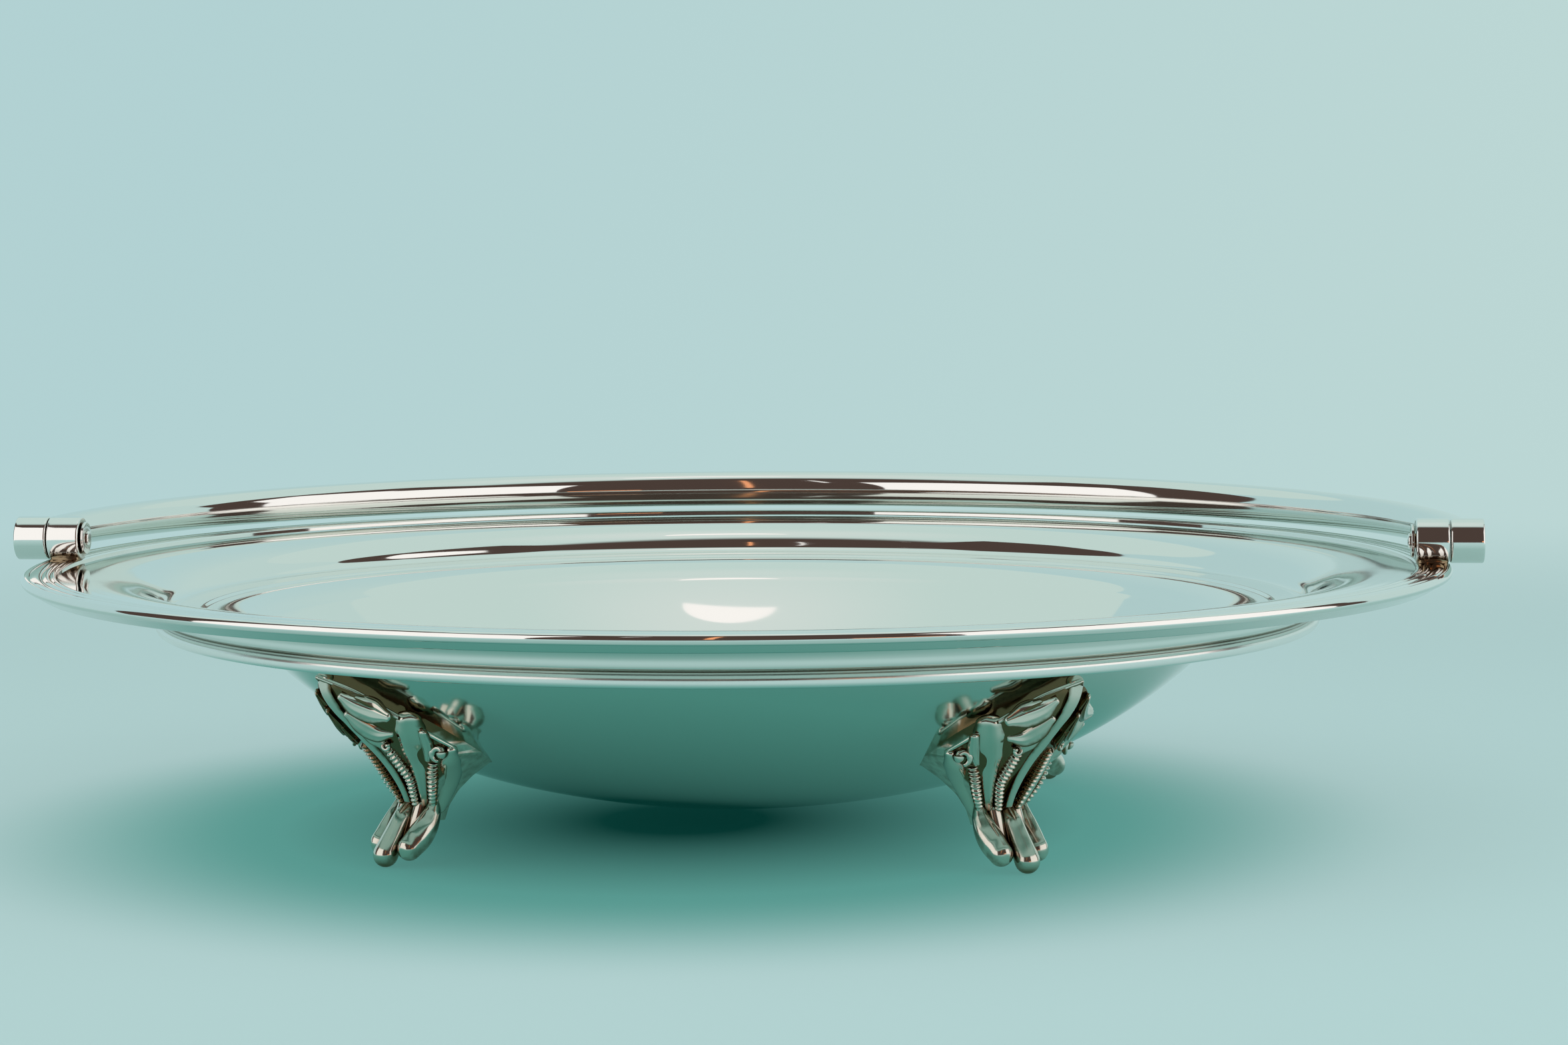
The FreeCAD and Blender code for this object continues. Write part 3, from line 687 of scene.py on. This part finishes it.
def leaf_section(travelled, angle):
    """Parallel veins."""
    return 1.0 + VEIN_RELIEF * math.cos(VEIN_COUNT * angle)


def toe_section(travelled, angle):
    """Soft crest along the top of a toe."""
    return 1.0 + bump(angle, *TOE_CREST)


def ridge(crest, widths, depths, up, steps=RIDGE_STEPS, sides=20, section=plain_section,
          on_axis=False, patina=1.0):
    """Rounded bar under a crest line: half widths, half depths below the crest, tarnished at its foot."""
    path = curve([Vector(point) for point in crest], steps)
    widths = spread(widths, steps)
    depths = spread(depths, steps)
    up = Vector(up)
    rings = []
    for index, point in enumerate(path):
        along = (path[min(index + 1, len(path) - 1)] - path[max(index - 1, 0)]).normalized()
        outward = (up - along * up.dot(along)).normalized()
        centre = point if on_axis else point - outward * depths[index]
        rings.append((centre, along, widths[index], depths[index]))
    centre, along, width, depth = rings[0]
    head = end_cap(centre, -along, width, depth)
    rings = [(place, along, wide, deep) for place, _, wide, deep in reversed(head)] + rings
    rings += end_cap(*rings[-1])
    corners = []
    tarnish = []
    travelled = 0.0
    last = rings[0][0]
    for centre, along, width, depth in rings:
        travelled += (centre - last).length
        last = centre
        outward = (up - along * up.dot(along)).normalized()
        sideways = along.cross(outward)
        for side in range(sides):
            angle = 2 * math.pi * side / sides
            swell = section(travelled, angle)
            corners.append(
                centre + sideways * (width * swell * math.cos(angle))
                + outward * (depth * swell * math.sin(angle)))
            tarnish.append(patina * min(1.0, max(0.0, TARNISH_LEVEL - TARNISH_SLOPE * math.sin(angle))))
    return corners, loft_faces(len(rings), sides), tarnish


def level_at(height):
    """Row of the leg at a height, between the rows of the table."""
    for low, high in zip(LEG_LEVELS, LEG_LEVELS[1:]):
        if height <= high[0]:
            break
    share = min(1.0, max(0.0, (height - low[0]) / (high[0] - low[0])))
    return [start + (end - start) * share for start, end in zip(low, high)]


def leg_front(height, across):
    """Radius of the leg's front at a height and a distance to the side."""
    _, front, shoulder, shoulder_width, side_edge, half_width, _ = level_at(height)
    across = min(abs(across), half_width)
    if across <= shoulder_width:
        return front - (front - shoulder) * (across / shoulder_width) ** 2
    share = (across - shoulder_width) / (half_width - shoulder_width)
    leave = 2 * (front - shoulder) / shoulder_width * (half_width - shoulder_width)
    fall = shoulder - side_edge
    leave = min(leave, fall)
    return shoulder - leave * share - (fall - leave) * share ** 2


def roof_height(radius, side):
    """Height of the foot's top at a place, where it falls outward to its bowed edge."""
    side = abs(side)
    for start, end in zip(ROOF_EDGE, ROOF_EDGE[1:]):
        if side <= end[1]:
            break
    share = min(1.0, (side - start[1]) / (end[1] - start[1]))
    edge_radius = start[0] + (end[0] - start[0]) * share
    edge_height = start[2] + (end[2] - start[2]) * share
    return edge_height - ROOF_FALL * (radius - edge_radius)


def leg_back(height, across):
    """Radius of the leg's back, which lies in the sheet of the well wherever it reaches that."""
    wall_centre, wall_height = well_wall_centre()
    seat = wall_centre + math.sqrt(WELL_WALL_RADIUS ** 2 - (wall_height - height) ** 2)
    seat -= SHEET_THICKNESS / 2
    own = level_at(height)[-1] if height < LEG_FREE_HEIGHT else 0.0
    return max(own, math.sqrt(seat ** 2 - across ** 2))


def leg_block():
    """Knee and leg under the relief: brown in front, brighter at the sides."""
    bottom = LEG_LEVELS[0][0]
    corners = []
    tarnish = []
    for level in range(LEG_ROWS + 1):
        front = []
        for column in range(LEG_COLUMNS + 1):
            lean = 2 * column / LEG_COLUMNS - 1
            height = bottom
            # the height depends on the place and the place on the height, so both settle together
            for _ in range(LEG_PASSES):
                across = lean * level_at(height)[-2]
                radius = leg_front(height, across)
                top = roof_height(radius, across)
                height += (bottom + level / LEG_ROWS * (top - bottom) - height) / 2
            front.append(Vector((radius, across, height)))
            tarnish.append(LEG_FRONT_TARNISH if abs(lean) < LEG_FRONT_SHARE else LEG_SIDE_TARNISH)
        corners += front
        corners += [Vector((leg_back(place.z, place.y), place.y, place.z)) for place in reversed(front)]
        tarnish += [LEG_SIDE_TARNISH] * len(front)
    roof = []
    for place in front:
        inner = place.copy()
        for _ in range(ROOF_PASSES):
            inner.x = leg_back(inner.z, inner.y)
            inner.z = place.z + ROOF_FALL * (place.x - inner.x)
        roof.append(inner)
    corners += roof + list(reversed(roof))
    tarnish += [ROOF_TARNISH] * (2 * len(roof))
    return corners, loft_faces(LEG_ROWS + 2, 2 * LEG_COLUMNS + 2, last_face=False), tarnish


def curl(centre, reach, wire, start, turn):
    """Rolled wire on the side of the knee, ending inside in a small knob."""
    outward = Vector(RELIEF_UP).normalized()
    level = Vector((-outward.y, outward.x, 0))
    points = []
    for index in range(CURL_POINTS + 1):
        share = index / CURL_POINTS
        angle = math.radians(start + turn * share)
        offset = reach * (1.0 - CURL_CLOSING * share)
        points.append(
            Vector(centre) + offset * (level * math.cos(angle) + Vector((0, 0, math.sin(angle))))
            + outward * CURL_LIFT * share)
    growth = [min(1.0, CURL_GROWTH * index / CURL_POINTS) for index in range(CURL_POINTS)]
    widths = [wire * (CURL_START_SHARE + (1 - CURL_START_SHARE) * grown) for grown in growth]
    widths.append(wire * CURL_KNOB_SHARE)
    return ridge(points, widths, widths, outward, steps=4, sides=16, on_axis=True)


def make_foot(place, angle):
    """One cast foot: knee and leg, rib, ropes, petals, leaves, lip, curls, webs and three toes."""
    casting = Casting()
    casting.add(*leg_block())
    casting.add(*ridge(RIB, RIB_WIDTHS, RIB_DEPTHS, RIB_UP, sides=28, section=strap_section))
    for rope in ROPES:
        casting.add_both(*ridge(
            rope, ROPE_WIDTHS, ROPE_WIDTHS, RELIEF_UP, steps=ROPE_STEPS, sides=16, section=rope_section))
    casting.add_both(*ridge(PETAL, PETAL_WIDTHS, PETAL_DEPTHS, RELIEF_UP, sides=32, section=petal_section))
    for leaf, widths in LEAVES:
        depths = [LEAF_DEPTH_SHARE * width for width in widths]
        casting.add_both(*ridge(leaf, widths, depths, RELIEF_UP, sides=36, section=leaf_section))
    casting.add_both(*ridge(LIP, LIP_WIDTHS, LIP_WIDTHS, LIP_UP, sides=16))
    for settings in CURLS:
        casting.add_both(*curl(*settings))
    casting.add_both(*ridge(
        FLANK, FLANK_WIDTHS, FLANK_DEPTHS, FLANK_UP, sides=24, patina=FLANK_PATINA))
    casting.add_both(*ridge(WEB, WEB_WIDTHS, WEB_WIDTHS, TOE_UP, sides=20, on_axis=True))
    casting.add(*ridge(
        CENTRE_TOE, CENTRE_TOE_WIDTHS, CENTRE_TOE_WIDTHS, TOE_UP, sides=32, on_axis=True,
        patina=CENTRE_TOE_PATINA))
    casting.add_both(*ridge(
        SIDE_TOE, SIDE_TOE_WIDTHS, SIDE_TOE_WIDTHS, SIDE_TOE_UP, sides=36, section=toe_section,
        on_axis=True, patina=SIDE_TOE_PATINA))
    turn = Matrix.Rotation(math.radians(angle), 3, "Z")
    corners = [turn @ Vector((corner.x, corner.y, max(corner.z, 0.0))) for corner in casting.corners]
    return make_mesh("cast_foot_" + place, corners, casting.faces, FOOT_CREASE_ANGLE, casting.tarnish)


class Shading:
    """Nodes of a material or of the world, built up one at a time."""

    def __init__(self, owner):
        owner.use_nodes = True
        self.owner = owner
        self.nodes = owner.node_tree.nodes
        self.links = owner.node_tree.links

    def node(self, kind, inputs=None, **settings):
        made = self.nodes.new(kind)
        for key, value in settings.items():
            setattr(made, key, value)
        for key, value in (inputs or {}).items():
            self.feed(self.socket(made.inputs, key), value)
        return made

    def socket(self, sockets, key):
        """Socket by its number, or the one of that name that is in use."""
        if isinstance(key, int):
            return sockets[key]
        return next(socket for socket in sockets if socket.name == key and socket.enabled)

    def feed(self, socket, value):
        if isinstance(value, bpy.types.NodeSocket):
            self.links.new(value, socket)
        else:
            socket.default_value = value

    def ramp(self, value, start, end, low=0.0, high=1.0, smooth=False):
        """Value stretched from one pair of limits to another."""
        made = self.node("ShaderNodeMapRange", {
            "Value": value, "From Min": start, "From Max": end, "To Min": low, "To Max": high},
            interpolation_type="SMOOTHSTEP" if smooth else "LINEAR")
        return self.socket(made.outputs, "Result")

    def mix(self, share, first, second):
        """Colour between two, by a share of the second."""
        made = self.node("ShaderNodeMix", {"Factor": share, "A": first, "B": second}, data_type="RGBA")
        return self.socket(made.outputs, "Result")

    def maths(self, operation, *values, clamp=False):
        made = self.node("ShaderNodeMath", dict(enumerate(values)), operation=operation, use_clamp=clamp)
        return made.outputs[0]

    def vector(self, operation, *values, output="Vector"):
        made = self.node("ShaderNodeVectorMath", dict(enumerate(values)), operation=operation)
        return made.outputs[output]

    def place(self):
        """Place on the object, in metres."""
        return self.node("ShaderNodeTexCoord").outputs["Object"]

    def part(self, vector, axis):
        """One coordinate of a vector."""
        return self.node("ShaderNodeSeparateXYZ", {0: vector}).outputs[axis]

    def glow(self, colour):
        """Light of the plain strength at which a colour is seen as it is written."""
        return self.node("ShaderNodeEmission", {"Color": colour, "Strength": 1.0}).outputs["Emission"]

    def surface(self, shader):
        """Makes a shader what the material or the world shows."""
        output = next(node for node in self.nodes if node.type.startswith("OUTPUT"))
        self.feed(output.inputs["Surface"], shader)

    def set(self, socket, value):
        """Feeds a socket of the material's own shader."""
        self.feed(self.nodes["Principled BSDF"].inputs[socket], value)


def silver(name, tarnish=0.0, roughness=PLATE_ROUGHNESS, painted=False, base=SILVER):
    """Polished silver: faint smears, rougher underneath with a painted teal shade in its colour, or else
    with brown tarnish in the hollows.
    """
    made = Shading(bpy.data.materials.new(name))
    place = made.place()
    smear = made.node("ShaderNodeTexNoise", {
        "Vector": place, "Scale": SMEAR_SCALE, "Detail": 4.0, "Roughness": 0.6})
    least, most = SMEAR_SHARES
    rough = made.ramp(smear.outputs["Fac"], *SMEAR_RANGE, roughness * least, roughness * most)
    made.set("Metallic", 1.0)
    if not tarnish:
        # Where the plate faces down it turns rougher and takes a painted shade in its colour
        facing = made.part(made.node("ShaderNodeNewGeometry").outputs["Normal"], "Z")
        under = made.ramp(facing, *UNDERSIDE_RANGE, 1.0, 0.0)
        made.set("Base Color", made.mix(under, base, PAINTED_UNDERSIDE_SHADE))
        made.set("Roughness", made.maths("MULTIPLY_ADD", under, DULL_ROUGHNESS, rough))
        return made.owner
    made.set("Roughness", rough)
    hollow = made.node("ShaderNodeAmbientOcclusion", {"Distance": TARNISH_REACH * MM}, samples=8)
    mask = made.ramp(hollow.outputs["AO"], *HOLLOW_RANGE, tarnish, 0.0)
    if painted:
        worn = made.node("ShaderNodeAttribute", attribute_name="tarnish").outputs["Fac"]
        patchy = made.node("ShaderNodeTexNoise", {"Vector": place, "Scale": PATCH_SCALE, "Detail": 3.0})
        uneven = made.maths("MULTIPLY_ADD", patchy.outputs["Fac"], PATCH_DEPTH, -PATCH_DEPTH / 2)
        brown = made.ramp(made.maths("ADD", worn, uneven), *BROWN_RANGE, smooth=True)
        mask = made.maths("MAXIMUM", mask, brown)
    made.set("Base Color", made.mix(mask, base, BROWN_TARNISH))
    return made.owner


def cloth(name):
    """Aqua cloth of the table with a painted shadow under the bowl, in its colour and in a glow, that fades
    into a glowing backdrop, a little paler to the right.
    """
    made = Shading(bpy.data.materials.new(name))
    place = made.place()
    flat = made.vector("MULTIPLY", place, (1.0, 1.0, 0.0))
    moved = made.vector("SUBTRACT", flat, (SHADE_MIDDLE_X * MM, 0.0, 0.0))
    narrowed = made.vector("MULTIPLY", moved, (SHADE_NARROWING, 1.0, 1.0))
    reach = made.vector("LENGTH", narrowed, output="Value")
    middle = made.ramp(reach, SHADE_CORE_RADIUS * MM, SHADE_MIDDLE_RADIUS * MM)
    edge = made.ramp(reach, SHADE_MIDDLE_RADIUS * MM, SHADE_EDGE_RADIUS * MM, smooth=True)
    # Painted shadow in the base colour under the bowl
    made.set("Base Color", made.mix(edge, PAINTED_SHADOW_TEAL, PALE_AQUA))
    made.set("Roughness", CLOTH_ROUGHNESS)
    made.set("Specular IOR Level", CLOTH_SHEEN)
    # Painted shadow as a glow, dark at its core under the bowl; far off it gives way to the backdrop
    shade = made.mix(edge, made.mix(middle, SHADE_CORE, SHADE_MIDDLE), SHADE_EDGE)
    side = made.ramp(made.part(place, "X"), -BACKDROP_HALF_WIDTH * MM, BACKDROP_HALF_WIDTH * MM)
    backdrop = made.mix(side, BACKDROP_LEFT, BACKDROP_RIGHT)
    distance = made.vector("LENGTH", flat, output="Value")
    far = made.ramp(distance, BACKDROP_START * MM, BACKDROP_END * MM, smooth=True)
    shadow_and_backdrop_glow = made.glow(made.mix(far, shade, backdrop))
    path = made.node("ShaderNodeLightPath").outputs
    seen = made.maths("ADD", path["Is Camera Ray"], path["Is Glossy Ray"])
    seen = made.maths("ADD", seen, path["Is Transmission Ray"], clamp=True)
    share = made.maths("MULTIPLY", seen, made.ramp(far, 0.0, 1.0, SHADE_SHARE, 1.0))
    own_light = made.nodes["Principled BSDF"].outputs["BSDF"]
    mixed = made.node("ShaderNodeMixShader", {0: share, 1: own_light, 2: shadow_and_backdrop_glow})
    made.surface(mixed.outputs["Shader"])
    return made.owner


def plain_glow(name, colour):
    """Evenly bright card, for what the silver reflects."""
    made = Shading(bpy.data.materials.new(name))
    made.surface(made.glow(colour))
    return made.owner


def roof_glow(name):
    """Roof of the tent: brightest over the bowl, dark where it is open in front."""
    made = Shading(bpy.data.materials.new(name))
    place = made.place()
    reach = made.vector("DISTANCE", place, [side * MM for side in ROOF_CENTRE], output="Value")
    outside = made.ramp(reach, 0.0, ROOF_CENTRE_REACH * MM, smooth=True)
    cover = made.mix(outside, ROOF_CENTRE_COLOUR, WORLD_SEEN)
    closed = made.ramp(made.part(place, "Y"), ROOF_FRONT_DARK * MM, ROOF_FRONT_PALE * MM, smooth=True)
    made.surface(made.glow(made.mix(closed, CARD_COLOURS["dark"], cover)))
    return made.owner


def card(name, corners, material):
    """Flat card of the studio that only the silver sees."""
    mesh = bpy.data.meshes.new(name)
    mesh.from_pydata([Vector(corner) * MM for corner in corners], [], [tuple(range(len(corners)))])
    mesh.materials.append(material)
    piece = placed(name, mesh)
    piece.visible_camera = False
    piece.visible_diffuse = False
    piece.visible_shadow = False
    piece.visible_volume_scatter = False


def make_floor(material):
    """Round table top that sweeps up into a wall far behind the bowl."""
    corner = FLOOR_SWEEP * (1 - math.sqrt(0.5))
    wall = FLOOR_FLAT + FLOOR_SWEEP
    outline = [Vector((0, 0)), Vector((FLOOR_FLAT / 2, 0))]
    outline += arc(
        Vector((FLOOR_FLAT, 0)), Vector((wall - corner, corner)), Vector((wall, FLOOR_SWEEP)), FLOOR_STEPS)
    outline.append(Vector((wall, BACKDROP_HEIGHT)))
    floor = lathe(
        "table_and_backdrop", outline, about_bowl_axis, turns=FLOOR_TURNS, closed=False,
        crease_angle=FLOOR_CREASE_ANGLE)
    floor.data.materials.append(material)


def lamp(name, place, width, height, radiance):
    """Soft rectangular light with a set brightness, aimed at the bowl and unseen in the silver."""
    light = bpy.data.lights.new(name, "AREA")
    light.shape = "RECTANGLE"
    light.size = width * MM
    light.size_y = height * MM
    light.energy = radiance * math.pi * width * height * MM * MM
    holder = placed(name, light)
    holder.location = Vector(place) * MM
    holder.rotation_euler = (-Vector(place)).to_track_quat("-Z", "Y").to_euler()
    holder.visible_camera = False
    holder.visible_glossy = False


def make_world():
    """Plain light from all round, which the silver sees as the pale aqua of the backdrop."""
    world = bpy.data.worlds.new("room")
    made = Shading(world)
    background = made.nodes["Background"]
    background.inputs["Color"].default_value = WORLD_COLOUR
    background.inputs["Strength"].default_value = WORLD_STRENGTH
    seen = made.node("ShaderNodeBackground", {"Color": WORLD_SEEN})
    glossy = made.node("ShaderNodeLightPath").outputs["Is Glossy Ray"]
    mixed = made.node("ShaderNodeMixShader", {
        0: glossy, 1: background.outputs["Background"], 2: seen.outputs["Background"]})
    made.surface(mixed.outputs["Shader"])
    bpy.context.scene.world = world


def make_studio():
    """Table, lamps, cards and the light of the room."""
    make_floor(cloth("aqua_cloth"))
    for name, settings in LAMPS.items():
        lamp(name, *settings)
    glows = {key: plain_glow(key + "_card", colour) for key, colour in CARD_COLOURS.items()}
    for name, (key, corners) in CARDS.items():
        card(name, corners, glows[key])
    x, y, z = ROOF_LAMP_PLACE
    angles = [math.pi * step / ROOF_LAMP_STEPS for step in range(ROOF_LAMP_STEPS + 1)]
    card("roof_lamp", [
        (x + ROOF_LAMP_RADIUS * math.cos(angle), y + ROOF_LAMP_RADIUS * math.sin(angle), z)
        for angle in angles], glows["white"])
    card("roof", ROOF, roof_glow("roof_card"))
    make_world()


def make_camera():
    """Camera in the place from which the bowl is seen almost from the side."""
    data = bpy.data.cameras.new("camera")
    data.sensor_width = CAMERA_SENSOR
    data.lens = CAMERA_LENS
    data.clip_start, data.clip_end = CAMERA_CLIP
    camera = placed("camera", data)
    camera.location = Vector(CAMERA_PLACE) * MM
    camera.rotation_euler = [math.radians(angle) for angle in CAMERA_TURN]
    bpy.context.scene.camera = camera


def dress(piece, material, slot, body, *nodes):
    """Gives a piece its material and puts it in the place of its solids."""
    piece.data.materials.append(material)
    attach(piece, body)
    if nodes:
        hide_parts(*nodes)


plate = silver("silver_plate")
satin = silver("satin_silver", tarnish=0.5, roughness=0.2)
cast = silver("cast_silver", tarnish=1.0, roughness=0.08)
brown = silver("brown_solder", tarnish=1.0, roughness=0.16, base=SOLDER_BROWN)
foot_silver = silver("foot_silver", tarnish=1.0, roughness=0.11, painted=True, base=WORN_SILVER)
dress(make_bowl(), plate, "silver_plate", "bowl", "bowl_shell")
dress(make_border(), plate, "silver_plate", "bowl", "rim_border")
dress(make_wire(), satin, "silver_plate", "bowl", "shoulder_wire")
dress(make_bail(), plate, "silver_plate", "handle", "handle_bail")
knob_start = BARREL_INNER_END + BARREL_LENGTH + KNOB_GAP
washer_start = BARREL_INNER_END - WASHER_GAP - WASHER_THICKNESS
for place, side in (("left", -1), ("right", 1)):
    dress(rounded_cylinder("pivot_barrel_" + place + "_plated", BARREL_INNER_END, BARREL_LENGTH,
                           BARREL_RADIUS, EDGE_ROUND, side),
          cast, "cast_silver", "bowl", "pivot_barrel_" + place)
    dress(make_solder("solder_" + place, side), brown, "cast_silver", "bowl")
    dress(rounded_cylinder("handle_end_" + place, knob_start - KNOB_SEAT, KNOB_LENGTH + KNOB_SEAT,
                           BARREL_RADIUS, EDGE_ROUND, side),
          plate, "silver_plate", "handle", "handle_knob_" + place)
    dress(rounded_cylinder("washer_" + place, washer_start, WASHER_THICKNESS, WASHER_RADIUS,
                           WASHER_ROUND, side),
          cast, "cast_silver", "handle", "pin_washer_" + place)
    dress(rounded_cylinder("peened_pin_" + place, washer_start - PIN_TIP_LENGTH, PIN_LENGTH,
                           PIN_RADIUS, PIN_ROUND, side),
          cast, "cast_silver", "handle", "pivot_pin_" + place)
for place, angle in FOOT_ANGLES.items():
    dress(make_foot(place, angle), foot_silver, "cast_silver", "bowl", "foot_" + place)

make_studio()
make_camera()
bpy.context.scene.view_settings.view_transform = "Standard"
